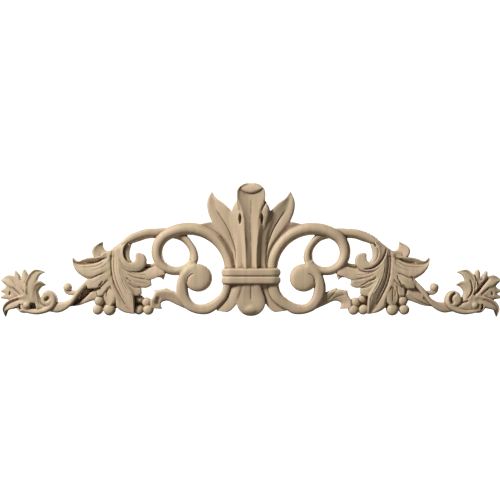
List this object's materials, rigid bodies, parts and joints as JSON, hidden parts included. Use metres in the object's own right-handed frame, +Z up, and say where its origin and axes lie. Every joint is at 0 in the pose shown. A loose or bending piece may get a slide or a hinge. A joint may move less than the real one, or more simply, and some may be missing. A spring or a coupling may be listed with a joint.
{
  "type": "carved wood applique",
  "caption": "Pierced carved wood applique: mirrored scrolls, a banded sheaf of leaves, acanthus leaves with berries and leaf sprays, flat behind.",
  "frame": {"origin": "in the flat back face, behind the middle of the collar that binds the sheaf", "axes": "+X along the applique, +Z up the sheaf, +Y out of the flat back into what it is fixed to; the carving faces -Y"},
  "size_m": [0.6, 0.024, 0.1599],
  "materials": {
    "wood": "bare sanded pale hardwood with a fine straight grain"
  },
  "bodies": {
    "root": {"carved_applique": "wood"}
  },
  "joints": []
}
